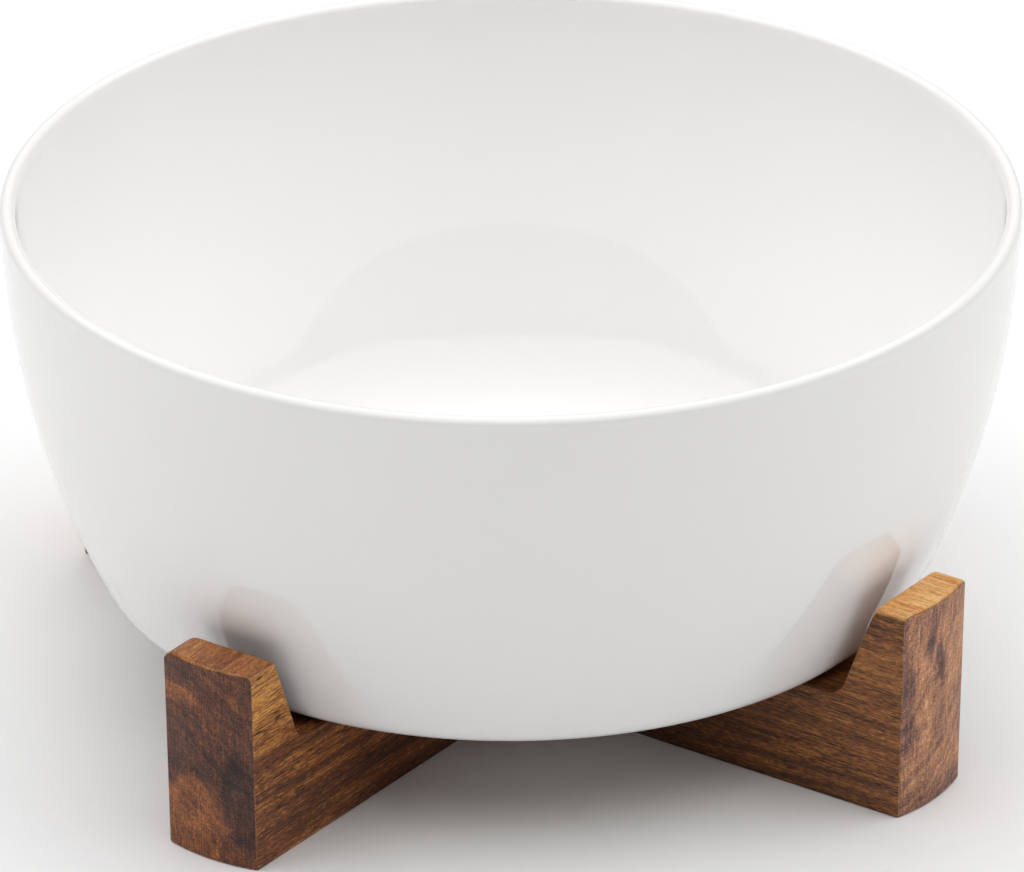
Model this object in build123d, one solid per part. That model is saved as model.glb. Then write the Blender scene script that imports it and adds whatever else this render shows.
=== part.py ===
"""Serving bowl on a crossed-board wooden stand.

A glazed stoneware bowl rests on two acacia boards that stand on edge and cross
in a glued half lap.  The ends of the boards rise as four horns round the bowl.

Sizes are in millimetres and leans in degrees from vertical, with +Z up.  The
origin is the middle of the crossing, on the surface that the stand rests on.
The lower board lies along Y and the upper board along X.
"""
from build123d import *
from dataclasses import dataclass
from math import cos, radians, sin, sqrt, tan
import os

# ---- Bowl -------------------------------------------------------------------
RIM_DIAMETER = 254.0         # widest point, at the lip
BOWL_HEIGHT = 102.0          # foot to lip
LIP_THICKNESS = 4.2          # fully rounded
LEAN_AT_RIM = 1.5            # of the wall, inside and outside
LEAN_AT_HEEL = 25.5          # outside, where the wall turns into the heel
LEAN_AT_COVE = 28.0          # inside, so that the wall thickens downwards
HEEL_RADIUS = 12.5           # outside, wall to foot
COVE_RADIUS = 20.0           # inside, wall to floor
FOOT_RING_WIDTH = 7.0        # the ring that the bowl stands on
FOOT_RECESS = 1.2            # the base is lifted this much inside that ring
FLOOR_THICKNESS = 5.6        # from that recess up to the inside floor

# ---- Stand ------------------------------------------------------------------
SEAT_HEIGHT = 28.4           # the level that the bowl rests on
BOARD_THICKNESS = 26.9
LOWER_BOARD_HEIGHT = 54.0    # base to the top of its horns
UPPER_BOARD_HEIGHT = 56.0
HORN_LAND = 9.5              # level top of a horn, from its inside face outwards
HORN_LEAN = 21.0             # inside face of a horn
HORN_TIP_RADIUS = 2.0        # top corner of that face
SEAT_CORNER_RADIUS = 6.0     # seat to horn
END_LEAN = 1.4               # outside face of a horn
END_CROWN = 1.9              # how far each end bulges beyond its corners
EASED_EDGE = 1.0             # all outside edges are sanded to this radius

# ---- Clearances -------------------------------------------------------------
HORN_CLEARANCE = 5.3         # bowl wall to horn, level with the lower horns' tops
LAP_CLEARANCE = 0.1          # each side of a board in the other board's slot
OVERCUT = 5.0                # how far a cutting shape runs past what it cuts


@dataclass
class LeaningArc:
    """An arc of the bowl's section that turns from one lean to a larger one."""

    start: Vector
    radius: float
    lean: float
    end_lean: float

    def direction(self, lean):
        """The unit vector from the arc's centre to its point of that lean."""
        return Vector(cos(radians(lean)), -sin(radians(lean)))

    @property
    def centre(self):
        return self.start - self.direction(self.lean) * self.radius

    @property
    def end(self):
        return self.centre + self.direction(self.end_lean) * self.radius

    def edge(self):
        return CenterArc(self.centre, self.radius, -self.lean, self.lean - self.end_lean)

    def reach_at(self, height):
        """The distance from the bowl's axis to the arc at a height above the foot."""
        rise = height - self.centre.Y
        return self.centre.X + sqrt(self.radius ** 2 - rise ** 2)


def wall_radius(drop, corner_radius, lean, end_lean):
    """The radius of a wall that, with its corner, falls by drop to the level."""
    wall_drop = drop - corner_radius * (1 - sin(radians(end_lean)))
    return wall_drop / (sin(radians(end_lean)) - sin(radians(lean)))


# ---- Section of the bowl: X is out from its axis, Y is up from its foot ------
lip_radius = LIP_THICKNESS / 2
lip_centre = Vector(RIM_DIAMETER / 2 - lip_radius, BOWL_HEIGHT - lip_radius)
rim_normal = Vector(cos(radians(LEAN_AT_RIM)), -sin(radians(LEAN_AT_RIM)))
floor_level = FOOT_RECESS + FLOOR_THICKNESS

outside_start = lip_centre + rim_normal * lip_radius
outside_radius = wall_radius(outside_start.Y, HEEL_RADIUS, LEAN_AT_RIM, LEAN_AT_HEEL)
outside_wall = LeaningArc(outside_start, outside_radius, LEAN_AT_RIM, LEAN_AT_HEEL)
heel = LeaningArc(outside_wall.end, HEEL_RADIUS, LEAN_AT_HEEL, 90)

inside_start = lip_centre - rim_normal * lip_radius
inside_drop = inside_start.Y - floor_level
inside_radius = wall_radius(inside_drop, COVE_RADIUS, LEAN_AT_RIM, LEAN_AT_COVE)
inside_wall = LeaningArc(inside_start, inside_radius, LEAN_AT_RIM, LEAN_AT_COVE)
cove = LeaningArc(inside_wall.end, COVE_RADIUS, LEAN_AT_COVE, 90)

# ---- Stand sizes that follow the bowl ----------------------------------------
lower_horn_rise = LOWER_BOARD_HEIGHT - SEAT_HEIGHT
horn_slope = tan(radians(HORN_LEAN))
end_slope = tan(radians(END_LEAN))
horn_reach = outside_wall.reach_at(lower_horn_rise) + HORN_CLEARANCE
horn_root = horn_reach - lower_horn_rise * horn_slope
half_length = horn_reach + HORN_LAND - LOWER_BOARD_HEIGHT * end_slope
lap_level = SEAT_HEIGHT / 2


def make_bowl():
    """One turned solid: foot ring, heel, wall, rounded lip, inside and cove."""
    lip = CenterArc(lip_centre, lip_radius, -LEAN_AT_RIM, 180)
    foot_inner = heel.end.X - FOOT_RING_WIDTH
    base = Polyline(
        heel.end,
        (foot_inner, 0),
        (foot_inner - FOOT_RECESS, FOOT_RECESS),
        (0, FOOT_RECESS),
        (0, floor_level),
        cove.end,
    )
    outline = [lip, outside_wall.edge(), heel.edge(), base, cove.edge(), inside_wall.edge()]
    edges = [edge for line in outline for edge in line.edges()]
    section = Plane.XZ * make_face(edges)
    return Pos(0, 0, SEAT_HEIGHT) * revolve(section, Axis.Z, 360)


def side_outline(board_height):
    """The board's side view along X: flat base, level seat and a horn at each end."""
    tip = horn_root + (board_height - SEAT_HEIGHT) * horn_slope
    past_end = half_length + board_height * end_slope + END_CROWN + OVERCUT
    outline = Polyline(
        (-past_end, 0),
        (past_end, 0),
        (past_end, board_height),
        (tip, board_height),
        (horn_root, SEAT_HEIGHT),
        (-horn_root, SEAT_HEIGHT),
        (-tip, board_height),
        (-past_end, board_height),
        close=True,
    )
    face = make_face(outline)
    roots = [v for v in face.vertices() if abs(v.Y - SEAT_HEIGHT) < 0.01]
    face = fillet(roots, SEAT_CORNER_RADIUS)
    tips = [v for v in face.vertices() if v.Y > board_height - 0.01 and abs(v.X) < tip + 0.01]
    return fillet(tips, HORN_TIP_RADIUS)


def inboard_of_end(board_height):
    """The space inboard of the crowned, leaning end on the +X side."""
    lean = radians(END_LEAN)
    leaning_plane = Plane(
        origin=(half_length, 0, 0),
        x_dir=(cos(lean), 0, -sin(lean)),
        z_dir=(sin(lean), 0, cos(lean)),
    )
    side = BOARD_THICKNESS / 2
    past_far_end = -2 * (half_length + board_height * end_slope + END_CROWN + OVERCUT)
    crown = ThreePointArc((0, -side), (END_CROWN, 0), (0, side))
    sides = Polyline((0, side), (past_far_end, side), (past_far_end, -side), (0, -side))
    plan = leaning_plane * make_face([*crown.edges(), *sides.edges()])
    return extrude(plan, board_height + OVERCUT, both=True)


def make_board(board_height):
    """One board along X, before its lap slot is cut."""
    side_view = Plane.XZ * side_outline(board_height)
    slab = extrude(side_view, BOARD_THICKNESS / 2 + OVERCUT, both=True)
    right_end = inboard_of_end(board_height)
    board = slab & right_end & mirror(right_end, Plane.YZ)
    return fillet(board.edges(), EASED_EDGE)


def lap_slot(bottom, top):
    """The cut across a board along X that lets the other board through."""
    width = BOARD_THICKNESS + 2 * LAP_CLEARANCE
    length = BOARD_THICKNESS + 2 * OVERCUT
    middle = (bottom + top) / 2
    return Pos(0, 0, middle) * Box(width, length, top - bottom)


def make_lower_board():
    """The board along Y, slotted from above."""
    board = make_board(LOWER_BOARD_HEIGHT) - lap_slot(lap_level, SEAT_HEIGHT + OVERCUT)
    return Rot(0, 0, 90) * board


def make_upper_board():
    """The board along X, slotted from below."""
    return make_board(UPPER_BOARD_HEIGHT) - lap_slot(-OVERCUT, lap_level)


PARTS = {
    "bowl": make_bowl,
    "lower_board": make_lower_board,
    "upper_board": make_upper_board,
}

os.makedirs("parts", exist_ok=True)
for node, make in PARTS.items():
    shape = make()
    export_step(shape, f"parts/{node}.step")
    print(f"{node}: volume {shape.volume:.0f} mm3, box {shape.bounding_box().size}")
print(f"outside wall radius {outside_radius:.2f}, inside wall radius {inside_radius:.2f}")
print(f"foot ring outside radius {heel.end.X:.2f}, floor radius {cove.end.X:.2f}")
print(f"cove starts at radius {cove.start.X:.2f}, height {cove.start.Y + SEAT_HEIGHT:.2f}")
print(f"horn root {horn_root:.2f}, horn reach {horn_reach:.2f}, half length {half_length:.2f}")
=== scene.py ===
"""A glazed stoneware serving bowl on a stand of two crossed acacia boards.

The bowl's section is turned round its axis by Geometry Nodes.  Each board is a sawn
and sanded solid with eased edges, and its wood is a solid pattern, so that the grain
runs along the faces and shows its cut ends at the horns.
"""
import logging
from dataclasses import dataclass, field
from enum import Enum
from math import ceil, cos, pi, radians, sin, sqrt, tan
from typing import Any

import bmesh
import bpy
from mathutils import Matrix, Vector


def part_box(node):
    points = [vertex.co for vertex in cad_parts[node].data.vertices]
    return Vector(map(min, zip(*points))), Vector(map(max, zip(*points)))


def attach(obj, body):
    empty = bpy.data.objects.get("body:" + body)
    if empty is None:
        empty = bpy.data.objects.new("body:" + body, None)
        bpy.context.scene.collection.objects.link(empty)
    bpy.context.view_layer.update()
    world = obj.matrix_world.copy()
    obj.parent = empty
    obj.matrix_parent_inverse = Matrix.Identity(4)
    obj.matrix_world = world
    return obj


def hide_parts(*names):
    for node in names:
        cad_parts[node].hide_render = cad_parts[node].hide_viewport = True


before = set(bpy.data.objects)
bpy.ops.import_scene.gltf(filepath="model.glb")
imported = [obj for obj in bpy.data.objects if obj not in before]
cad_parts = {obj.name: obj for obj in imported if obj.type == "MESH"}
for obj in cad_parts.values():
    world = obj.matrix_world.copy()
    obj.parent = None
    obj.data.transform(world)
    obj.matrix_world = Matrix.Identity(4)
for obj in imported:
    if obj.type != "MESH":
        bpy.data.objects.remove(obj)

LOG = logging.getLogger("serving_bowl")
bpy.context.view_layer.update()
MM = 0.001
Colour = tuple[float, float, float, float]
Size = tuple[float, float, float]

MATH = "ShaderNodeMath"
VECTOR_MATH = "ShaderNodeVectorMath"
MAP_RANGE = "ShaderNodeMapRange"
MIX = "ShaderNodeMix"
# A Mix node's inputs share their names, so its colour sockets go by number.
SHARE, FIRST, SECOND = 0, 6, 7


def linear(hex_colour: str) -> Colour:
    """Turns an sRGB hex colour into the linear colour that a shader takes.

    Args:
        hex_colour: six hex digits, with or without a leading hash.

    Returns:
        Red, green, blue and alpha, all from 0 to 1.
    """
    digits = hex_colour.lstrip("#")
    channels = [int(digits[i:i + 2], 16) / 255 for i in (0, 2, 4)]
    straight = [c / 12.92 if c <= 0.04045 else ((c + 0.055) / 1.055) ** 2.4 for c in channels]
    return (*straight, 1.0)


def add_node(
    tree: bpy.types.NodeTree, kind: str, inputs: dict[str | int, Any] | None = None, **settings: Any
) -> bpy.types.Node:
    """Adds a node with its settings, and sets or links its inputs.

    Args:
        tree: the node tree that the node joins.
        kind: the node's type name.
        inputs: by socket name or number, a value to set, an output socket to link, or a
            node whose first live output is linked.
        settings: the node's own properties.

    Returns:
        The new node.
    """
    node = tree.nodes.new(kind)
    for name, value in settings.items():
        setattr(node, name, value)
    for name, value in (inputs or {}).items():
        if isinstance(value, bpy.types.Node):
            value = next(output for output in value.outputs if output.enabled)
        if isinstance(value, bpy.types.NodeSocket):
            tree.links.new(value, node.inputs[name])
        else:
            node.inputs[name].default_value = value
    return node


def bare_material(name: str) -> tuple[bpy.types.Material, bpy.types.NodeTree]:
    """Makes a material with an empty node tree.

    Args:
        name: the finish's plain name.

    Returns:
        The material and its node tree.
    """
    material = bpy.data.materials.new(name)
    material.use_nodes = True
    material.node_tree.nodes.clear()
    return material, material.node_tree


def mottle(
    tree: bpy.types.NodeTree, place: Any, size_mm: Size, detail: float, roughness: float = 0.5
) -> bpy.types.Node:
    """Fills space with a soft random pattern of a real size.

    Args:
        tree: the shader tree.
        place: where the pattern is read, in metres.
        size_mm: the size of one cell of the pattern along X, Y and Z.
        detail: octaves of finer pattern.
        roughness: how strong those octaves are.

    Returns:
        The pattern's node, whose first output swings round one half.
    """
    size = tuple(s * MM for s in size_mm)
    cells = add_node(tree, VECTOR_MATH, {0: place, 1: size}, operation="DIVIDE")
    inputs = {"Vector": cells, "Scale": 1.0, "Detail": detail, "Roughness": roughness}
    return add_node(tree, "ShaderNodeTexNoise", inputs)


class Direction(Enum):
    """The way that a board lies, as its turn about Z in radians."""

    ALONG_X = 0.0
    ALONG_Y = pi / 2


# ---- Finishes ---------------------------------------------------------------------


@dataclass(frozen=True)
class GlazedStoneware:
    """Gloss tin-white glaze, fired on stoneware.

    It pools into a smooth glassy skin, so it mirrors its surroundings sharply, with a
    faint ripple where the body under it isn't perfectly true.
    """

    colour: str = "#fbfaf9"
    pooled: str = "#faf9f8"
    roughness: float = 0.005
    ior: float = 1.52
    cloud_mm: float = 60.0
    cloud_from: float = 0.35
    cloud_to: float = 0.7
    ripple_mm: float = 34.0
    ripple_height_mm: float = 0.02
    orange_peel_mm: float = 2.2
    orange_peel_height_mm: float = 0.0003

    def material(self) -> bpy.types.Material:
        """Builds the glaze.

        Returns:
            The finish as a material.
        """
        material, tree = bare_material("gloss_white_glaze")
        place = add_node(tree, "ShaderNodeTexCoord").outputs["Object"]
        cloud = mottle(tree, place, (self.cloud_mm,) * 3, 2)
        limits = {"Value": cloud, "From Min": self.cloud_from, "From Max": self.cloud_to}
        share = add_node(tree, MAP_RANGE, limits, interpolation_type="SMOOTHSTEP")
        colours = {SHARE: share, FIRST: linear(self.colour), SECOND: linear(self.pooled)}
        colour = add_node(tree, MIX, colours, data_type="RGBA")
        ripple = mottle(tree, place, (self.ripple_mm,) * 3, 1)
        peel = mottle(tree, place, (self.orange_peel_mm,) * 3, 1)
        waves = {0: ripple, 1: self.ripple_height_mm * MM}
        waves = add_node(tree, MATH, waves, operation="MULTIPLY")
        height = {0: peel, 1: self.orange_peel_height_mm * MM, 2: waves}
        height = add_node(tree, MATH, height, operation="MULTIPLY_ADD")
        bump = add_node(tree, "ShaderNodeBump", {"Height": height, "Distance": 1.0})
        skin = {"Base Color": colour, "Roughness": self.roughness, "IOR": self.ior, "Normal": bump}
        shader = add_node(tree, "ShaderNodeBsdfPrincipled", skin)
        add_node(tree, "ShaderNodeOutputMaterial", {"Surface": shader})
        return material


@dataclass(frozen=True)
class BareStoneware:
    """The foot ring, wiped clean of glaze before firing: matt, sandy and off-white."""

    colour: str = "#d9cfc0"
    toasted: str = "#c2b199"
    roughness: float = 0.85
    ior: float = 1.5
    toasting_mm: float = 9.0
    grit_mm: float = 0.7
    grit_height_mm: float = 0.03

    def material(self) -> bpy.types.Material:
        """Builds the bare clay.

        Returns:
            The finish as a material.
        """
        material, tree = bare_material("bare_stoneware_foot")
        place = add_node(tree, "ShaderNodeTexCoord").outputs["Object"]
        cloud = mottle(tree, place, (self.toasting_mm,) * 3, 4)
        colours = {SHARE: cloud, FIRST: linear(self.colour), SECOND: linear(self.toasted)}
        colour = add_node(tree, MIX, colours, data_type="RGBA")
        grit = mottle(tree, place, (self.grit_mm,) * 3, 2)
        height = add_node(tree, MATH, {0: grit, 1: self.grit_height_mm * MM}, operation="MULTIPLY")
        bump = add_node(tree, "ShaderNodeBump", {"Height": height, "Distance": 1.0})
        clay = {"Base Color": colour, "Roughness": self.roughness, "IOR": self.ior, "Normal": bump}
        shader = add_node(tree, "ShaderNodeBsdfPrincipled", clay)
        add_node(tree, "ShaderNodeOutputMaterial", {"Surface": shader})
        return material


@dataclass(frozen=True)
class Layer:
    """One layer of a wood's figure.

    The size of its cells is in millimetres along the board, across it and up.
    """

    size_mm: Size
    detail: float
    strength: float


@dataclass(frozen=True)
class FigureAndShadePatch:
    """A soft-edged lens of paler or darker tone inside a board: most follow the wood's figure, some
    are painted light and shade.

    Its centre and reach are in millimetres along the board, across it and up.
    """

    centre: Size
    reach: Size
    tone: float
    edge: float = 0.45


@dataclass(frozen=True)
class AcaciaFigure:
    """One cut of acacia: its colours from dark to pale and the layers of its figure."""

    colours: tuple[str, ...]
    layers: tuple[Layer, ...]
    tone: float = 0.5
    patches: tuple[FigureAndShadePatch, ...] = ()

    def dye(self, tree: bpy.types.NodeTree, tone: bpy.types.Node) -> bpy.types.Node:
        """Turns a tone into this cut's colours.

        Args:
            tree: the shader tree.
            tone: the node that gives the tone, from 0 for dark to 1 for pale.

        Returns:
            The node that gives the colour.
        """
        dyed = add_node(tree, "ShaderNodeValToRGB", {"Fac": tone})
        stops = dyed.color_ramp.elements
        while len(stops) < len(self.colours):
            stops.new(0.5)
        for i, (stop, colour) in enumerate(zip(stops, self.colours)):
            stop.position = i / (len(self.colours) - 1)
            stop.color = linear(colour)
        return dyed


LONG_GRAIN: tuple[Layer, ...] = (
    Layer((60.0, 9.0, 9.0), 2, 0.8),
    Layer((30.0, 2.0, 2.0), 3, 0.55),
    Layer((16.0, 0.45, 0.45), 3, 1.1),
    Layer((2.0, 0.32, 0.32), 2, 1.3),
)
CUT_END: tuple[Layer, ...] = (
    Layer((60.0, 6.0, 9.0), 3, 0.6),
    Layer((20.0, 1.4, 4.0), 3, 0.45),
    Layer((20.0, 0.38, 8.0), 2, 0.75),
    Layer((20.0, 6.0, 0.42), 2, 0.4),
    Layer((0.5, 0.5, 0.5), 2, 1.1),
)
SANDED_TOP: tuple[Layer, ...] = (
    Layer((16.0, 6.0, 6.0), 3, 0.9),
    Layer((6.0, 1.0, 1.0), 3, 0.7),
    Layer((1.1, 0.45, 0.45), 2, 0.9),
)


@dataclass(frozen=True)
class OiledAcacia:
    """Acacia, sanded and rubbed with oil.

    Open pores show as short dark dashes along the faces and as specks on the cut ends,
    which drink more oil and turn darker and purpler.  The tops of the horns take a paler,
    warmer palette: partly the sanding, partly painted light falling from above.  Pale
    streaks on the eased edges are partly wear and partly painted highlights.  Growth bands
    curve round a pith that lies outside the board.  Pores are drawn a little coarser than
    real ones, so that they show.
    """

    name: str
    along: Direction
    offset_mm: Size
    pith_mm: tuple[float, float]
    face: AcaciaFigure
    cut_end: AcaciaFigure
    top: AcaciaFigure
    pore_colour: str = "#22130c"
    wear_and_highlight_colour: str = "#d0a577"
    band_mm: float = 2.1
    band_strength: float = 0.55
    wander_mm: float = 5.0
    wander_cell_mm: Size = (70.0, 14.0, 14.0)
    log_wander: float = 0.25
    figure_roughness: float = 0.6
    pore_mm: Size = (4.0, 0.34, 0.34)
    pore_crowd_mm: Size = (34.0, 5.0, 5.0)
    pore_sharpness: float = 16.0
    pore_fill: float = 0.8
    pore_fill_on_top: float = 0.25
    scuff_and_glint_mm: Size = (7.0, 2.5, 2.5)
    fibre_mm: Size = (9.0, 0.5, 0.5)
    roughness: float = 0.4
    pore_roughness: float = 0.25
    end_roughness: float = 0.14
    ior: float = 1.48
    pore_depth_mm: float = 0.07
    fibre_height_mm: float = 0.035

    def figured(
        self, tree: bpy.types.NodeTree, figure: AcaciaFigure, places: "Places"
    ) -> bpy.types.Node:
        """Colours one cut of the wood.

        Args:
            tree: the shader tree.
            figure: the cut.
            places: the places that the pattern is read at.

        Returns:
            The node that gives the colour.
        """
        banded = {0: places.bands, 1: self.band_strength, 2: figure.tone}
        tone = add_node(tree, MATH, banded, operation="MULTIPLY_ADD")
        for layer in figure.layers:
            value = mottle(tree, places.log, layer.size_mm, layer.detail, self.figure_roughness)
            swing = add_node(tree, MATH, {0: value, 1: 0.5}, operation="SUBTRACT")
            layered = {0: swing, 1: layer.strength, 2: tone}
            tone = add_node(tree, MATH, layered, operation="MULTIPLY_ADD")
        # Patches shift the tone: most follow the figure, some are painted shade under the bowl and
        # painted light on the horns.
        for patch in figure.patches:
            centre = tuple(c * MM for c in patch.centre)
            reach = tuple(r * MM for r in patch.reach)
            away = {0: places.warped, 1: centre}
            away = add_node(tree, VECTOR_MATH, away, operation="SUBTRACT")
            lens = add_node(tree, VECTOR_MATH, {0: away, 1: reach}, operation="DIVIDE")
            depth = add_node(tree, VECTOR_MATH, {0: lens}, operation="LENGTH")
            rim = {"Value": depth, "From Min": 1 + patch.edge / 2, "From Max": 1 - patch.edge / 2}
            inside = add_node(tree, MAP_RANGE, rim, interpolation_type="SMOOTHSTEP")
            tinted = {0: inside, 1: patch.tone, 2: tone}
            tone = add_node(tree, MATH, tinted, operation="MULTIPLY_ADD")
        return figure.dye(tree, tone)

    def pores(self, tree: bpy.types.NodeTree, places: "Places") -> bpy.types.Node:
        """Strews open pores, in crowds and clearings.

        Args:
            tree: the shader tree.
            places: the places that the pattern is read at.

        Returns:
            The node that is 1 in a pore and 0 outside it.
        """
        specks = mottle(tree, places.log, self.pore_mm, 1, 0.4)
        crowd = {
            "Value": mottle(tree, places.log, self.pore_crowd_mm, 2),
            "From Min": 0.35,
            "From Max": 0.62,
            "To Min": 0.7,
            "To Max": 0.57,
        }
        threshold = add_node(tree, MAP_RANGE, crowd, interpolation_type="SMOOTHSTEP")
        above = add_node(tree, MATH, {0: specks, 1: threshold}, operation="SUBTRACT")
        sharpened = {0: above, 1: self.pore_sharpness}
        return add_node(tree, MATH, sharpened, operation="MULTIPLY", use_clamp=True)

    def material(self) -> bpy.types.Material:
        """Builds the wood.

        Returns:
            The finish as a material.
        """
        material, tree = bare_material(self.name)
        places = Places.in_board(tree, self)
        pores = self.pores(tree, places)
        end, top, wear_and_highlight = (
            add_node(tree, "ShaderNodeAttribute", attribute_name=name).outputs["Fac"]
            for name in ("end_grain", "sanded_and_lit_top", "worn_and_highlit_edge")
        )
        # Faces turned up on the horns take the paler, warmer top palette: partly sanding, partly
        # painted light from above.
        long_cuts = {
            SHARE: top,
            FIRST: self.figured(tree, self.face, places),
            SECOND: self.figured(tree, self.top, places),
        }
        colour = add_node(tree, MIX, long_cuts, data_type="RGBA")
        fill = {0: top, 1: self.pore_fill_on_top - self.pore_fill, 2: self.pore_fill}
        fill = add_node(tree, MATH, fill, operation="MULTIPLY_ADD")
        filled = add_node(tree, MATH, {0: pores, 1: fill}, operation="MULTIPLY")
        porous = {SHARE: filled, FIRST: colour, SECOND: linear(self.pore_colour)}
        colour = add_node(tree, MIX, porous, data_type="RGBA")
        ended = {SHARE: end, FIRST: colour, SECOND: self.figured(tree, self.cut_end, places)}
        colour = add_node(tree, MIX, ended, data_type="RGBA")
        # Eased edges turn paler in broken streaks: partly wear, partly painted highlights where the
        # edges catch the light.
        scuff_and_glint = {
            "Value": mottle(tree, places.log, self.scuff_and_glint_mm, 3),
            "From Min": 0.4,
            "From Max": 0.65,
            "To Min": 0.1,
            "To Max": 0.5,
        }
        scuff_and_glint = add_node(tree, MAP_RANGE, scuff_and_glint, interpolation_type="SMOOTHSTEP")
        scuffed_and_glinting = add_node(tree, MATH, {0: wear_and_highlight, 1: scuff_and_glint}, operation="MULTIPLY")
        rubbed_and_highlit = {SHARE: scuffed_and_glinting, FIRST: colour, SECOND: linear(self.wear_and_highlight_colour)}
        colour = add_node(tree, MIX, rubbed_and_highlit, data_type="RGBA")

        fibre = mottle(tree, places.log, self.fibre_mm, 3, 0.6)
        height = {0: fibre, 1: self.fibre_height_mm * MM}
        height = add_node(tree, MATH, height, operation="MULTIPLY")
        height = {0: pores, 1: -self.pore_depth_mm * MM, 2: height}
        height = add_node(tree, MATH, height, operation="MULTIPLY_ADD")
        bump = add_node(tree, "ShaderNodeBump", {"Height": height, "Distance": 1.0})
        roughness = {0: pores, 1: self.pore_roughness, 2: self.roughness}
        roughness = add_node(tree, MATH, roughness, operation="MULTIPLY_ADD")
        roughness = {0: end, 1: self.end_roughness, 2: roughness}
        roughness = add_node(tree, MATH, roughness, operation="MULTIPLY_ADD")
        oiled = {"Base Color": colour, "Roughness": roughness, "IOR": self.ior, "Normal": bump}
        shader = add_node(tree, "ShaderNodeBsdfPrincipled", oiled)
        add_node(tree, "ShaderNodeOutputMaterial", {"Surface": shader})
        return material


@dataclass(frozen=True)
class Places:
    """The nodes that a board's pattern is read at: in the log, warped, and its bands."""

    log: bpy.types.Node
    warped: bpy.types.Node
    bands: bpy.types.Node

    @classmethod
    def in_board(cls, tree: bpy.types.NodeTree, wood: OiledAcacia) -> "Places":
        """Works out the places, with the board's length along X.

        Args:
            tree: the shader tree.
            wood: the board's wood.

        Returns:
            The places.
        """
        place = add_node(tree, "ShaderNodeTexCoord").outputs["Object"]
        turn = {"Vector": place, "Rotation": (0, 0, -wood.along.value)}
        board = add_node(tree, "ShaderNodeMapping", turn)
        offset = tuple(o * MM for o in wood.offset_mm)
        seed = add_node(tree, VECTOR_MATH, {0: board, 1: offset}, operation="ADD")
        wander = mottle(tree, seed, wood.wander_cell_mm, 3).outputs["Color"]
        centred = {0: wander, 1: (0.5,) * 3}
        centred = add_node(tree, VECTOR_MATH, centred, operation="SUBTRACT")
        reach = (0.0, wood.wander_mm * 2 * MM, wood.wander_mm * 2 * MM)
        push = add_node(tree, VECTOR_MATH, {0: centred, 1: reach}, operation="MULTIPLY")
        warped = add_node(tree, VECTOR_MATH, {0: board, 1: push}, operation="ADD")
        gentle = {0: push, "Scale": wood.log_wander}
        gentle = add_node(tree, VECTOR_MATH, gentle, operation="SCALE")
        log = add_node(tree, VECTOR_MATH, {0: seed, 1: gentle}, operation="ADD")

        pith = (0.0, wood.pith_mm[0] * MM, wood.pith_mm[1] * MM)
        from_pith = add_node(tree, VECTOR_MATH, {0: warped, 1: pith}, operation="SUBTRACT")
        across = {0: from_pith, 1: (0, 1, 1)}
        across = add_node(tree, VECTOR_MATH, across, operation="MULTIPLY")
        radius = add_node(tree, VECTOR_MATH, {0: across}, operation="LENGTH")
        rings = add_node(tree, MATH, {0: radius, 1: wood.band_mm * MM}, operation="DIVIDE")
        inputs = {"W": rings, "Scale": 1.0, "Detail": 2.0, "Roughness": 0.55}
        bands = add_node(tree, "ShaderNodeTexNoise", inputs, noise_dimensions="1D")
        swing = add_node(tree, MATH, {0: bands, 1: 0.5}, operation="SUBTRACT")
        return cls(log, warped, swing)


# ---- The bowl -----------------------------------------------------------------------


@dataclass(frozen=True)
class LeaningArc:
    """An arc of the bowl's section that turns from one lean to a larger one.

    Leans are in degrees from vertical.  X is out from the axis and Y is up.
    """

    start: Vector
    radius: float
    lean: float
    end_lean: float

    def direction(self, lean: float) -> Vector:
        """The unit vector from the arc's centre to its point of that lean."""
        return Vector((cos(radians(lean)), -sin(radians(lean))))

    @property
    def centre(self) -> Vector:
        """The arc's centre."""
        return self.start - self.direction(self.lean) * self.radius

    @property
    def end(self) -> Vector:
        """The arc's last point."""
        return self.centre + self.direction(self.end_lean) * self.radius

    def points(self, steps: int) -> list[Vector]:
        """Divides the arc evenly.

        Args:
            steps: how many chords stand for the arc.

        Returns:
            Its points from start to end, both included.
        """
        turn = (self.end_lean - self.lean) / steps
        ways = [self.direction(self.lean + turn * i) for i in range(steps + 1)]
        return [self.centre + way * self.radius for way in ways]


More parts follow.
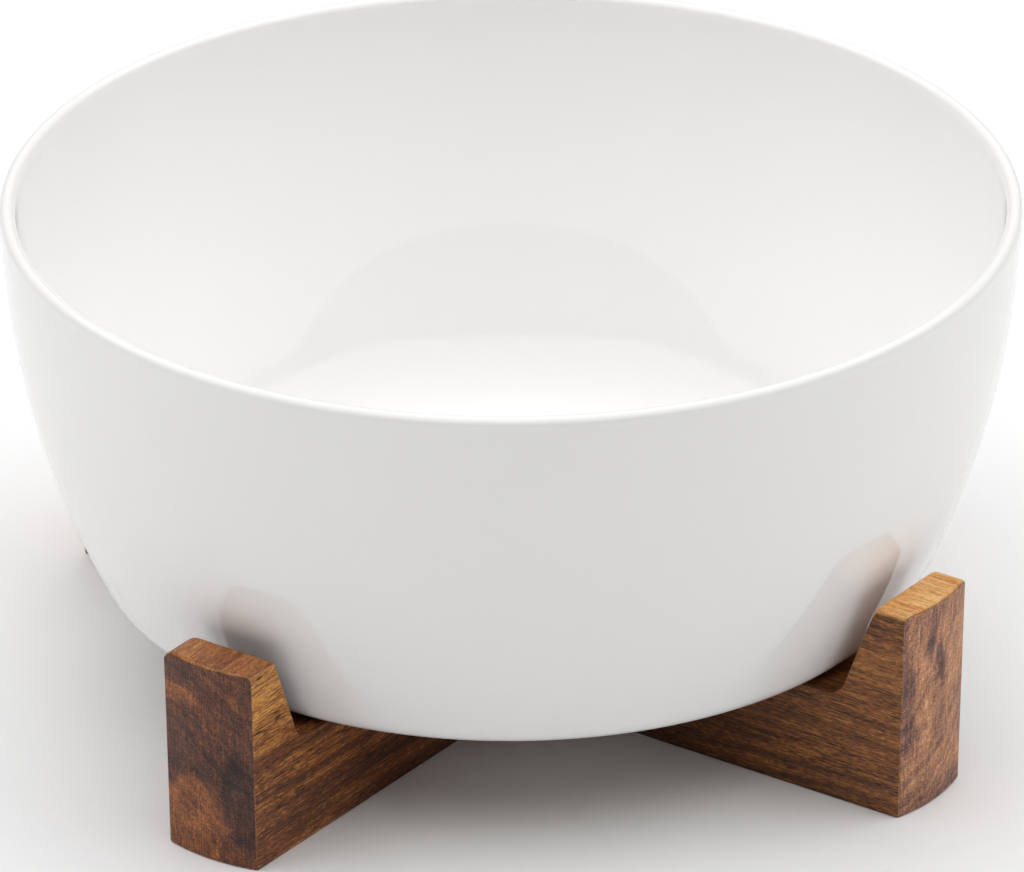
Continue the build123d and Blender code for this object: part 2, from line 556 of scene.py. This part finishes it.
@dataclass
class StonewareBowl:
    """The turned bowl: foot ring, heel, wall, rounded lip and coved inside.

    The rim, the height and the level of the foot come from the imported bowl.
    """

    lip_thickness: float = 4.2 * MM
    lean_at_rim: float = 1.5
    lean_at_heel: float = 25.5
    lean_at_cove: float = 28.0
    heel_radius: float = 12.5 * MM
    cove_radius: float = 20.0 * MM
    foot_ring_width: float = 7.0 * MM
    foot_recess: float = 1.2 * MM
    floor_thickness: float = 5.6 * MM
    wiped_foot_height: float = 0.5 * MM
    segments: int = 288
    wall_steps: int = 44
    corner_steps: int = 18
    lip_steps: int = 16
    base_steps: int = 6
    floor_steps: int = 8
    glaze: GlazedStoneware = field(default_factory=GlazedStoneware)
    clay: BareStoneware = field(default_factory=BareStoneware)

    def wall(self, start: Vector, level: float, corner_radius: float, end_lean: float) -> LeaningArc:
        """The arc of a wall that, with the corner below it, falls to a level.

        Args:
            start: the wall's top point.
            level: the height that the corner ends on.
            corner_radius: the corner's radius.
            end_lean: the wall's lean where the corner starts.

        Returns:
            The wall's arc.
        """
        turned = sin(radians(end_lean)) - sin(radians(self.lean_at_rim))
        drop = start.y - level - corner_radius * (1 - sin(radians(end_lean)))
        return LeaningArc(start, drop / turned, self.lean_at_rim, end_lean)

    def section(self) -> list[Vector]:
        """The bowl's section as points from the middle of the base, out, up and in.

        Returns:
            Points with X out from the axis and Y up.
        """
        low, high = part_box("bowl")
        lip = self.lip_thickness / 2
        centre = Vector((high.x - lip, high.z - lip))
        normal = Vector((cos(radians(self.lean_at_rim)), -sin(radians(self.lean_at_rim))))
        floor = low.z + self.foot_recess + self.floor_thickness
        outside = self.wall(centre + normal * lip, low.z, self.heel_radius, self.lean_at_heel)
        heel = LeaningArc(outside.end, self.heel_radius, self.lean_at_heel, 90)
        inside = self.wall(centre - normal * lip, floor, self.cove_radius, self.lean_at_cove)
        cove = LeaningArc(inside.end, self.cove_radius, self.lean_at_cove, 90)

        ring = heel.end.x - self.foot_ring_width
        recess = Vector((ring - self.foot_recess, low.z + self.foot_recess))
        base = [Vector((recess.x * i / self.base_steps, recess.y)) for i in range(self.base_steps)]
        foot = [
            recess + Vector((-self.foot_recess / 4, 0)),
            recess,
            Vector((ring, low.z)),
            Vector((heel.end.x - lip / 4, low.z)),
        ]
        rim_lean = radians(self.lean_at_rim)
        turns = [pi * i / self.lip_steps - rim_lean for i in range(self.lip_steps + 1)]
        rim = [centre + Vector((cos(turn), sin(turn))) * lip for turn in turns]
        inward = range(self.floor_steps - 1, -1, -1)
        flat = [Vector((cove.end.x * i / self.floor_steps, floor)) for i in inward]
        outer = foot + heel.points(self.corner_steps)[::-1] + outside.points(self.wall_steps)[-2::-1]
        inner = inside.points(self.wall_steps)[1:] + cove.points(self.corner_steps)[1:]
        return base + outer + rim[1:] + inner + flat

    def turning_tree(self, glaze: bpy.types.Material, clay: bpy.types.Material) -> bpy.types.NodeTree:
        """Builds the Geometry Nodes that turn a section round the Z axis.

        Args:
            glaze: the finish of the whole bowl but its foot.
            clay: the finish of the foot ring.

        Returns:
            The tree, with inputs named Segments, Foot Level and Ring Radius.
        """
        tree = bpy.data.node_groups.new("turned_bowl", "GeometryNodeTree")
        face = tree.interface
        face.new_socket("Section", in_out="INPUT", socket_type="NodeSocketGeometry")
        face.new_socket("Segments", in_out="INPUT", socket_type="NodeSocketInt")
        face.new_socket("Foot Level", in_out="INPUT", socket_type="NodeSocketFloat")
        face.new_socket("Ring Radius", in_out="INPUT", socket_type="NodeSocketFloat")
        face.new_socket("Bowl", in_out="OUTPUT", socket_type="NodeSocketGeometry")
        given = add_node(tree, "NodeGroupInput").outputs
        section, segments = given["Section"], given["Segments"]

        measured = {"Geometry": section}
        domain = add_node(tree, "GeometryNodeAttributeDomainSize", measured, component="MESH")
        count = domain.outputs["Point Count"]
        columns = add_node(tree, MATH, {0: segments, 1: 1}, operation="ADD")
        grid = add_node(tree, "GeometryNodeMeshGrid", {"Vertices X": columns, "Vertices Y": count})
        index = add_node(tree, "GeometryNodeInputIndex")
        row = add_node(tree, MATH, {0: index, 1: count}, operation="FLOORED_MODULO")
        past = add_node(tree, MATH, {0: index, 1: 0.5}, operation="ADD")
        shared = add_node(tree, MATH, {0: past, 1: count}, operation="DIVIDE")
        column = add_node(tree, MATH, {0: shared}, operation="FLOOR")
        spot = add_node(tree, "GeometryNodeInputPosition")
        picked = {"Geometry": section, "Index": row}
        kind = {"data_type": "FLOAT_VECTOR", "domain": "POINT"}
        picked = add_node(tree, "GeometryNodeSampleIndex", picked, **kind)
        tree.links.new(spot.outputs[0], picked.inputs["Value"])
        swept = add_node(tree, MATH, {0: column, 1: 2 * pi}, operation="MULTIPLY")
        angle = add_node(tree, MATH, {0: swept, 1: segments}, operation="DIVIDE")
        turned = {"Vector": picked, "Angle": angle}
        turned = add_node(tree, "ShaderNodeVectorRotate", turned, rotation_type="Z_AXIS")
        placed = add_node(tree, "GeometryNodeSetPosition", {"Geometry": grid, "Position": turned})
        merged = {"Geometry": placed, "Distance": 0.001 * MM}
        merged = add_node(tree, "GeometryNodeMergeByDistance", merged)
        smooth = add_node(tree, "GeometryNodeSetShadeSmooth", {"Geometry": merged})

        parts = add_node(tree, "ShaderNodeSeparateXYZ", {"Vector": spot}).outputs
        flat = add_node(tree, "ShaderNodeCombineXYZ", {"X": parts["X"], "Y": parts["Y"]})
        out = add_node(tree, VECTOR_MATH, {0: flat}, operation="LENGTH")
        low_down = add_node(tree, MATH, {0: parts["Z"], 1: given["Foot Level"]}, operation="LESS_THAN")
        on_ring = add_node(tree, MATH, {0: out, 1: given["Ring Radius"]}, operation="GREATER_THAN")
        foot = add_node(tree, MATH, {0: low_down, 1: on_ring}, operation="MULTIPLY")
        solid = add_node(tree, "GeometryNodeRealizeInstances", {"Geometry": smooth})
        glazed = add_node(tree, "GeometryNodeSetMaterial", {"Geometry": solid, "Material": glaze})
        wiped = {"Geometry": glazed, "Selection": foot, "Material": clay}
        wiped = add_node(tree, "GeometryNodeSetMaterial", wiped)
        add_node(tree, "NodeGroupOutput", {"Bowl": wiped})
        return tree

    def build(self) -> bpy.types.Object:
        """Builds the bowl and sets it on the bowl's body.

        Returns:
            The finished piece.
        """
        low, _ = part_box("bowl")
        points = self.section()
        mesh = bpy.data.meshes.new("bowl_section")
        edges = [(i, i + 1) for i in range(len(points) - 1)]
        mesh.from_pydata([(p.x, 0, p.y) for p in points], edges, [])
        foot_reach = max(p.x for p in points if p.y < low.z + self.foot_recess / 2)
        sizes = {
            "Segments": self.segments,
            "Foot Level": low.z + self.wiped_foot_height,
            "Ring Radius": foot_reach - self.foot_ring_width - 2 * self.foot_recess,
        }
        tree = self.turning_tree(self.glaze.material(), self.clay.material())
        bowl = shaped_by_nodes("glazed_bowl", mesh, tree, sizes)
        face_outwards(bowl)
        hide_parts("bowl")
        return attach(bowl, "bowl")


def shaped_by_nodes(
    name: str, mesh: bpy.types.Mesh, tree: bpy.types.NodeTree, sizes: dict[str, Any]
) -> bpy.types.Object:
    """Runs Geometry Nodes on a mesh and keeps the result as a plain mesh.

    Args:
        name: the finished piece's name.
        mesh: the tree's starting geometry.
        tree: the Geometry Nodes.
        sizes: the values of the tree's named inputs.

    Returns:
        An object at the origin that holds the result, with no modifier.
    """
    piece = bpy.data.objects.new(name, mesh)
    bpy.context.scene.collection.objects.link(piece)
    modifier = piece.modifiers.new("shape", "NODES")
    modifier.node_group = tree
    given = [item for item in tree.interface.items_tree if item.in_out == "INPUT"]
    sockets = {item.name: item.identifier for item in given}
    for label, value in sizes.items():
        modifier[sockets[label]] = value
    return applied(piece)


def applied(piece: bpy.types.Object) -> bpy.types.Object:
    """Replaces a piece's mesh by what its modifiers make of it.

    Args:
        piece: the object, with its modifiers live.

    Returns:
        The same object, with a plain mesh and no modifier.
    """
    graph = bpy.context.evaluated_depsgraph_get()
    made = bpy.data.meshes.new_from_object(piece.evaluated_get(graph), depsgraph=graph)
    piece.modifiers.clear()
    piece.data = made
    made.name = piece.name
    return piece


def smooth_share(value: float, low: float, high: float) -> float:
    """Rises smoothly from 0 at low to 1 at high, and holds at both ends."""
    share = max(0.0, min(1.0, (value - low) / (high - low)))
    return share * share * (3 - 2 * share)


def face_outwards(piece: bpy.types.Object) -> None:
    """Turns a closed mesh's faces outwards.

    Args:
        piece: the object whose mesh is turned.
    """
    shape = bmesh.new()
    shape.from_mesh(piece.data)
    if shape.calc_volume(signed=True) < 0:
        bmesh.ops.reverse_faces(shape, faces=shape.faces)
    shape.to_mesh(piece.data)
    shape.free()


# ---- The stand ----------------------------------------------------------------------


@dataclass(frozen=True)
class Corner:
    """A corner of a board's side view: its place and the radius that rounds it."""

    x: float
    z: float
    radius: float

    def arc(self, before: "Corner", after: "Corner", steps: int) -> list[Vector]:
        """Rounds the corner.

        Args:
            before: the corner before it along the outline.
            after: the corner after it.
            steps: how many chords stand for the arc.

        Returns:
            Points from the end of the side before it to the start of the side after it.
        """
        here = Vector((self.x, self.z))
        back = (Vector((before.x, before.z)) - here).normalized()
        ahead = (Vector((after.x, after.z)) - here).normalized()
        half = back.angle(ahead) / 2
        centre = here + (back + ahead).normalized() * self.radius / sin(half)
        first = here + back * self.radius / tan(half) - centre
        last = here + ahead * self.radius / tan(half) - centre
        ways = [first.lerp(last, i / steps).normalized() for i in range(steps + 1)]
        return [centre + way * self.radius for way in ways]


@dataclass
class AcaciaBoard:
    """One sawn board on edge, with a horn at each end and half of the lap in its middle.

    The length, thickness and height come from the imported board.  The mesh is made along
    X and then turned the way that the board lies.
    """

    node: str
    name: str
    along: Direction
    slot_from: float
    slot_to: float
    finish: OiledAcacia
    seat: float = 28.4 * MM
    horn_land: float = 9.5 * MM
    horn_lean: float = 21.0
    horn_tip_radius: float = 2.0 * MM
    seat_corner_radius: float = 6.0 * MM
    end_lean: float = 1.4
    end_crown: float = 1.9 * MM
    eased: float = 0.5 * MM
    outer_corner: float = 0.8 * MM
    sanded_near: float = 2.4 * MM
    sanded_far: float = 2.4 * MM
    sanded_tip: float = 1.0
    lap_clearance: float = 0.1 * MM
    corner_steps: int = 7
    edge_steps: int = 5
    across_steps: int = 30
    side_step: float = 3.0 * MM
    steepest_sanding: float = 0.93
    sanding_fade: float = 1.5
    half_thickness: float = field(init=False)
    height: float = field(init=False)
    end_slope: float = field(init=False)
    half_length: float = field(init=False)

    def __post_init__(self) -> None:
        """Takes the board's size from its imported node."""
        low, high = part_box(self.node)
        reach, half = (high.x, high.y) if self.along is Direction.ALONG_X else (high.y, high.x)
        self.half_thickness = half
        self.height = high.z
        self.end_slope = tan(radians(self.end_lean))
        self.half_length = reach - self.end_crown - self.height * self.end_slope

    def corners(self) -> list[Corner]:
        """Lays out the corners of the side view.

        Returns:
            The corners, anticlockwise from the bottom right.
        """
        slope = tan(radians(self.horn_lean))
        common_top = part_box("lower_board")[1].z
        tip_at_common_top = self.half_length + common_top * self.end_slope - self.horn_land
        root = tip_at_common_top - (common_top - self.seat) * slope
        tip = root + (self.height - self.seat) * slope
        top = self.half_length + self.height * self.end_slope
        right = [
            Corner(self.half_length, 0, self.outer_corner),
            Corner(top, self.height, self.outer_corner),
            Corner(tip, self.height, self.horn_tip_radius),
            Corner(root, self.seat, self.seat_corner_radius),
        ]
        return right + [Corner(-c.x, c.z, c.radius) for c in reversed(right)]

    def outline(self) -> list[Vector]:
        """Rounds the side view's corners and divides its straight sides.

        Returns:
            Closely spaced points, anticlockwise.
        """
        corners = self.corners()
        following = corners[1:] + corners[:1]
        neighbours = zip(corners[-1:] + corners[:-1], corners, following)
        arcs = [corner.arc(before, after, self.corner_steps) for before, corner, after in neighbours]
        points: list[Vector] = []
        for i, arc in enumerate(arcs):
            side = arcs[(i + 1) % len(arcs)][0] - arc[-1]
            steps = max(2, ceil(side.length / self.side_step))
            margin = self.eased / 2 / side.length
            shares = [margin] + [j / steps for j in range(1, steps)] + [1 - margin]
            points += arc + [arc[-1] + side * share for share in shares]
        return points

    def rings(self) -> list[tuple[float, float]]:
        """Spaces the side view's copies across the thickness, with its edges eased.

        Returns:
            For each copy, its inset from the outline and its place across.
        """
        flat = self.half_thickness - self.eased
        quarter = [pi / 2 * i / self.edge_steps for i in range(self.edge_steps + 1)]
        rounding = [(self.eased * (1 - cos(a)), flat + self.eased * sin(a)) for a in quarter]
        holding = [(self.eased * 1.25, self.half_thickness)]
        spread = [sin(pi / 2 * (2 * i / self.across_steps - 1)) for i in range(1, self.across_steps)]
        middle = [(0.0, flat * share) for share in spread]
        near = [(inset, -across) for inset, across in reversed(rounding + holding)]
        return near + middle + rounding + holding

    def drop(self, reach: float, across: float, height: float) -> float:
        """How far hand sanding lowers a horn's top beside its long edges.

        Args:
            reach: the distance from the middle of the board, along it.
            across: the place across the thickness.
            height: the height above the base.

        Returns:
            The drop, largest at the board's sides.
        """
        radius = self.sanded_near if across < 0 else self.sanded_far
        depth = min(1.0, max(0.0, (abs(across) - self.half_thickness + radius) / radius))
        fall = radius * (1 - sqrt(1 - (self.steepest_sanding * depth) ** 2))
        share = max(0.0, min(1.0, (height - self.height + 3 * radius) / (3 * radius)))
        outer = smooth_share(reach, self.half_length - 1.1 * self.horn_land, self.half_length)
        along = 1.0 if across > 0 else self.sanded_tip + (1 - self.sanded_tip) * outer
        return fall * along * share ** self.sanding_fade

    def build_mesh(self) -> bpy.types.Mesh:
        """Builds the board along X as copies of the side view, before the lap is cut.

        Returns:
            The closed mesh.
        """
        outline = self.outline()
        count = len(outline)
        normals = []
        for i, point in enumerate(outline):
            along = outline[(i + 1) % count] - outline[i - 1]
            normals.append(Vector((along.y, -along.x)).normalized())
        shape = bmesh.new()
        loops = []
        for inset, across in self.rings():
            bulge = self.end_crown * (1 - (across / self.half_thickness) ** 2)
            loop = []
            for point, normal in zip(outline, normals):
                place = point - normal * inset
                pushed = self.end_share(place) * bulge * (1 if place.x > 0 else -1)
                level = place.y - self.drop(abs(place.x), across, place.y)
                loop.append(shape.verts.new((place.x + pushed, across, level)))
            loops.append(loop)
        for near, far in zip(loops, loops[1:]):
            for i in range(count):
                j = (i + 1) % count
                shape.faces.new((near[i], near[j], far[j], far[i]))
        shape.faces.new(reversed(loops[0]))
        shape.faces.new(loops[-1])
        for face in shape.faces:
            face.smooth = True
        mesh = bpy.data.meshes.new(self.name)
        shape.to_mesh(mesh)
        shape.free()
        return mesh

    def mark_cuts(self, mesh: bpy.types.Mesh) -> None:
        """Marks each part's share of cut end, sanded and lit top, and worn and highlit edge.

        Args:
            mesh: the finished board, still along X.
        """
        mesh.set_sharp_from_angle(angle=radians(35))
        end = mesh.attributes.new("end_grain", "FLOAT", "CORNER")
        top = mesh.attributes.new("sanded_and_lit_top", "FLOAT", "CORNER")
        wear_and_highlight = mesh.attributes.new("worn_and_highlit_edge", "FLOAT", "CORNER")
        horn_top = self.height - 2.2 * self.sanded_near
        for corner, normal in zip(mesh.loops, mesh.corner_normals):
            n = normal.vector
            level = mesh.vertices[corner.vertex_index].co.z
            below_top = level < self.height - 0.6 * MM
            end.data[corner.index].value = smooth_share(abs(n.x), 0.55, 0.85) if below_top else 0
            # Upward faces near the horn tops: paler palette, partly sanding and partly painted light
            # from above.
            lifted = smooth_share(level, horn_top, self.height - self.sanded_near)
            top.data[corner.index].value = lifted * smooth_share(n.z, 0.25, 0.75)
            # Rounded eased edges take pale streaks: partly wear, partly painted highlights.
            slant = 1 - max(abs(n.x), abs(n.y), abs(n.z))
            wear_and_highlight.data[corner.index].value = smooth_share(slant, 0.13, 0.27)

    def end_share(self, place: Vector) -> float:
        """How much of the end's crown reaches a point of the side view."""
        end = self.half_length + place.y * self.end_slope
        return smooth_share(abs(place.x), end - 4.0 * MM, end - 1.0 * MM)

    def cut_lap(self, board: bpy.types.Object) -> None:
        """Cuts the slot that the other board crosses in.

        Args:
            board: the board, still along X.
        """
        width = 2 * (self.half_thickness + self.lap_clearance)
        size = (width, width + 4 * self.eased, self.slot_to - self.slot_from)
        middle = (0, 0, (self.slot_from + self.slot_to) / 2)
        placed = Matrix.LocRotScale(Vector(middle), None, Vector(size))
        cutter_shape = bmesh.new()
        bmesh.ops.create_cube(cutter_shape, size=1.0, matrix=placed)
        cutter_mesh = bpy.data.meshes.new("lap_cutter")
        cutter_shape.to_mesh(cutter_mesh)
        cutter_shape.free()
        cutter = bpy.data.objects.new("lap_cutter", cutter_mesh)
        bpy.context.scene.collection.objects.link(cutter)
        modifier = board.modifiers.new("lap", "BOOLEAN")
        modifier.operation = "DIFFERENCE"
        modifier.solver = "EXACT"
        modifier.object = cutter
        applied(board)
        bpy.data.objects.remove(cutter)

    def build(self) -> bpy.types.Object:
        """Builds the board, dresses it in its wood and sets it on the stand's body.

        Returns:
            The finished piece.
        """
        board = bpy.data.objects.new(self.name, self.build_mesh())
        bpy.context.scene.collection.objects.link(board)
        face_outwards(board)
        self.cut_lap(board)
        self.mark_cuts(board.data)
        board.data.transform(Matrix.Rotation(self.along.value, 4, "Z"))
        board.data.materials.clear()
        board.data.materials.append(self.finish.material())
        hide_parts(self.node)
        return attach(board, "stand")


# ---- The studio -----------------------------------------------------------------------


def direction_from(azimuth: float, elevation: float) -> Vector:
    """The unit vector from the bowl towards a place round it.

    Args:
        azimuth: degrees anticlockwise from the front, seen from above.
        elevation: degrees above level.

    Returns:
        The direction.
    """
    turn, lift = radians(azimuth), radians(elevation)
    return Vector((sin(turn) * cos(lift), -cos(turn) * cos(lift), sin(lift)))


@dataclass(frozen=True)
class SoftLight:
    """A rectangular soft box, aimed at the bowl."""

    name: str
    azimuth: float
    elevation: float
    distance: float
    width: float
    height: float
    power: float
    mirrored: bool = False

    def build(self, aim: Vector) -> bpy.types.Object:
        """Hangs the light.

        Args:
            aim: the place that it points at.

        Returns:
            The light's object.
        """
        lamp = bpy.data.lights.new(self.name, "AREA")
        lamp.shape = "RECTANGLE"
        lamp.size, lamp.size_y = self.width, self.height
        lamp.energy = self.power
        light = bpy.data.objects.new(self.name, lamp)
        back = direction_from(self.azimuth, self.elevation)
        light.location = aim + back * self.distance
        light.rotation_euler = back.to_track_quat("Z", "Y").to_euler()
        light.visible_glossy = self.mirrored
        bpy.context.scene.collection.objects.link(light)
        return light


@dataclass
class Studio:
    """A pale floor, even white surroundings, soft boxes and the camera."""

    floor_reach: float = 6.0
    floor_colour: str = "#f8f8f8"
    surroundings: str = "#ffffff"
    surroundings_strength: float = 0.11
    azimuth: float = 35.66
    elevation: float = 26.18
    roll: float = -0.25
    distance: float = 2.904
    lens: float = 407.8
    aim: tuple[float, float, float] = (0.0, 0.0, 0.064)
    lights: tuple[SoftLight, ...] = (
        SoftLight("ceiling_panel", 35.66, 89.0, 1.7, 3.4, 3.4, 32.5, mirrored=True),
        SoftLight("front_soft_box", 35.66, 65.0, 2.6, 2.2, 2.2, 5.0),
        SoftLight("right_soft_box", 125.66, 43.0, 2.6, 2.4, 2.4, 20.5),
        SoftLight("left_soft_box", -54.34, 43.0, 2.6, 2.4, 2.4, 20.5),
        SoftLight("back_soft_box", 215.66, 45.0, 2.6, 2.2, 2.2, 18.0),
    )

    def build_floor(self) -> None:
        """Lays a wide, flat, pale floor."""
        shape = bmesh.new()
        bmesh.ops.create_grid(shape, x_segments=12, y_segments=12, size=self.floor_reach)
        mesh = bpy.data.meshes.new("floor")
        shape.to_mesh(mesh)
        shape.free()
        floor = bpy.data.objects.new("floor", mesh)
        bpy.context.scene.collection.objects.link(floor)
        material, tree = bare_material("matt_white_floor")
        matt = {"Base Color": linear(self.floor_colour), "Roughness": 1.0, "Specular IOR Level": 0.0}
        shader = add_node(tree, "ShaderNodeBsdfPrincipled", matt)
        add_node(tree, "ShaderNodeOutputMaterial", {"Surface": shader})
        mesh.materials.append(material)

    def build_surroundings(self) -> None:
        """Surrounds the bowl with even white light."""
        world = bpy.data.worlds.new("white_studio")
        world.use_nodes = True
        world.node_tree.nodes.clear()
        inputs = {"Color": linear(self.surroundings), "Strength": self.surroundings_strength}
        glow = add_node(world.node_tree, "ShaderNodeBackground", inputs)
        add_node(world.node_tree, "ShaderNodeOutputWorld", {"Surface": glow})
        bpy.context.scene.world = world

    def build_camera(self) -> None:
        """Sets up a long lens that looks down on the bowl."""
        back = direction_from(self.azimuth, self.elevation)
        data = bpy.data.cameras.new("camera")
        data.lens = self.lens
        data.sensor_width = 36.0
        data.clip_end = 100.0
        camera = bpy.data.objects.new("camera", data)
        camera.location = Vector(self.aim) + back * self.distance
        level = back.to_track_quat("Z", "Y").to_matrix().to_4x4()
        tilted = level @ Matrix.Rotation(radians(self.roll), 4, "Z")
        camera.rotation_euler = tilted.to_euler()
        bpy.context.scene.collection.objects.link(camera)
        bpy.context.scene.camera = camera

    def build(self) -> None:
        """Builds the whole studio."""
        bpy.context.scene.view_settings.view_transform = "Standard"
        self.build_camera()
        self.build_floor()
        self.build_surroundings()
        for light in self.lights:
            light.build(Vector(self.aim))




def lower_wood() -> OiledAcacia:
    """The lower board's wood: dark red-brown heartwood with golden horns, partly painted light, and
    painted shade low in the middle under the bowl.

    Returns:
        The finish of the board along Y.
    """
    face = AcaciaFigure(
        ("#2a1105", "#592b0d", "#87491b", "#bf7c37", "#ecae5a"),
        LONG_GRAIN,
        tone=0.42,
        patches=(
            # Paler near horn: partly the wood's tone, partly painted light where the horn stands clear
            # of the bowl.
            FigureAndShadePatch((-124, -14, 51), (26, 20, 19), 0.33, 0.3),
            FigureAndShadePatch((-75, -14, 16), (60, 6, 1.6), 0.16, 0.9),
            FigureAndShadePatch((-80, -14, 24), (50, 6, 1.3), 0.12, 0.9),
            # Painted shade: darker low in the middle of the board, under the bowl.
            FigureAndShadePatch((-20, -14, 4), (75, 12, 11), -0.1, 0.8),
            # Paler far horn: partly the wood's tone, partly painted light where the horn stands clear
            # of the bowl.
            FigureAndShadePatch((122, 10, 46), (26, 20, 16), 0.28, 0.4),
        ),
    )
    cut_end = AcaciaFigure(
        ("#2a1915", "#4d2e23", "#74432c", "#9d5e30", "#ce8043"),
        CUT_END,
        tone=0.36,
        patches=(
            FigureAndShadePatch((-128, 7, 9), (12, 12, 13), 0.26, 0.14),
            FigureAndShadePatch((-128, 11, 43), (12, 10, 3.2), 0.24, 0.5),
            FigureAndShadePatch((-128, 2, 25), (12, 22, 4), -0.1, 0.8),
            FigureAndShadePatch((-128, -9.5, 16), (12, 4, 15), -0.17, 0.5),
            FigureAndShadePatch((-128, -10, 2), (12, 4, 4), 0.12, 0.6),
            FigureAndShadePatch((128, -3, 30), (12, 9, 14), 0.2, 0.4),
        ),
    )
    # Horn tops: paler, warmer palette, partly sanding and partly painted light from above.
    sanded_and_lit_top_colours = ("#391b10", "#6e391e", "#9f5d2d", "#c78748", "#e6b97c")
    top = AcaciaFigure(sanded_and_lit_top_colours, SANDED_TOP, tone=0.5)
    return OiledAcacia(
        "oiled_acacia_lower",
        along=Direction.ALONG_Y,
        offset_mm=(310.0, 40.0, -25.0),
        pith_mm=(38.0, -30.0),
        face=face,
        cut_end=cut_end,
        top=top,
        band_strength=0.44,
    )


def upper_wood() -> OiledAcacia:
    """The upper board's wood: straight-grained mid-brown with pinkish cut ends, and painted shade in
    the middle of the board under the bowl.

    Returns:
        The finish of the board along X.
    """
    face = AcaciaFigure(
        ("#2b1406", "#583012", "#844e23", "#ae7036", "#d6944f"),
        LONG_GRAIN,
        tone=0.47,
        patches=(
            # Painted shade: the middle of the board darker, under the bowl.
            FigureAndShadePatch((0, -14, 12), (96, 14, 30), -0.22, 0.9),
            # Slightly paler towards the horn: partly the wood's tone, partly painted light.
            FigureAndShadePatch((118, -14, 46), (20, 14, 9), 0.08, 0.8),
        ),
    )
    cut_end = AcaciaFigure(
        ("#4d3634", "#7a544a", "#a97558", "#d09569", "#f2bb8c"),
        CUT_END,
        tone=0.53,
        patches=(
            FigureAndShadePatch((128, -13.5, 34), (12, 4.5, 26), -0.26, 0.5),
            FigureAndShadePatch((128, -3, 48), (12, 1.5, 7), -0.3, 0.7),
            FigureAndShadePatch((128, 0.5, 38), (12, 1.5, 7), -0.3, 0.7),
            FigureAndShadePatch((128, 8, 42), (12, 6, 14), 0.08, 0.8),
            FigureAndShadePatch((128, -6, 22), (12, 2.5, 20), 0.1, 0.9),
            FigureAndShadePatch((128, 2, 1), (12, 20, 5), -0.2, 0.9),
        ),
    )
    # Horn tops: paler, warmer palette, partly sanding and partly painted light from above.
    sanded_and_lit_top_colours = ("#7d401c", "#b86d2e", "#e8a254", "#f8c27d", "#fcdcae")
    top = AcaciaFigure(sanded_and_lit_top_colours, SANDED_TOP, tone=0.61)
    return OiledAcacia(
        "oiled_acacia_upper",
        along=Direction.ALONG_X,
        offset_mm=(-140.0, -75.0, 60.0),
        pith_mm=(-44.0, 70.0),
        face=face,
        cut_end=cut_end,
        top=top,
    )


def boards() -> list[AcaciaBoard]:
    """Describes the stand's two boards.

    Returns:
        The lower board, slotted from above, and the upper board, slotted from below.
    """
    seat = AcaciaBoard.seat
    past = 5 * MM
    lower = AcaciaBoard(
        "lower_board",
        "lower_acacia_board",
        Direction.ALONG_Y,
        slot_from=seat / 2,
        slot_to=seat + past,
        finish=lower_wood(),
        horn_tip_radius=0.9 * MM,
        sanded_far=4.2 * MM,
        sanded_tip=0.15,
    )
    upper = AcaciaBoard(
        "upper_board",
        "upper_acacia_board",
        Direction.ALONG_X,
        slot_from=-past,
        slot_to=seat / 2,
        finish=upper_wood(),
    )
    return [lower, upper]


def main() -> None:
    """Builds the studio, the bowl and the stand."""
    logging.basicConfig(level=logging.INFO, format="%(message)s")
    Studio().build()
    pieces = [StonewareBowl().build()] + [board.build() for board in boards()]
    for piece in pieces:
        LOG.info("%s: %d faces", piece.name, len(piece.data.polygons))


if __name__ == "__main__":
    main()
